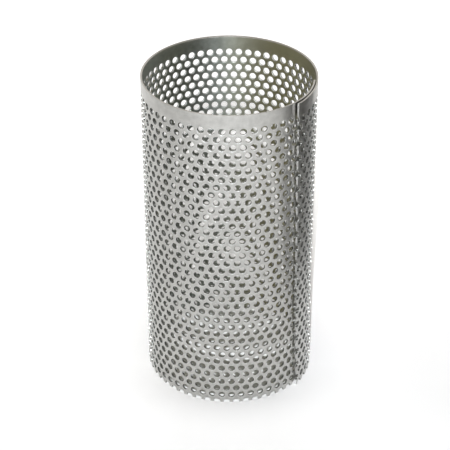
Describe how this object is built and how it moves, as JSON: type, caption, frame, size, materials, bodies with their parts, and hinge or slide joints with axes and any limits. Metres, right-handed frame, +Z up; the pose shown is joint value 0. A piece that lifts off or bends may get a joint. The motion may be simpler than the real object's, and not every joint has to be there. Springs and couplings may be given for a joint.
{
  "type": "strainer screen",
  "caption": "Cylindrical strainer screen rolled from perforated stainless sheet, open at both ends, with a plain top band and a spot-welded lap seam.",
  "frame": {"origin": "centre of the box around the tube, on the plane that the foot stands on", "axes": "+Z up along the tube's axis towards the plain band, -Y to the front of the picture's view, with the lap seam at the front right"},
  "size_m": [0.0832, 0.0822, 0.1615],
  "materials": {
    "stainless_sheet": "mill finish stainless sheet, satin"
  },
  "bodies": {
    "root": {"perforated_screen": "stainless_sheet"}
  },
  "joints": []
}
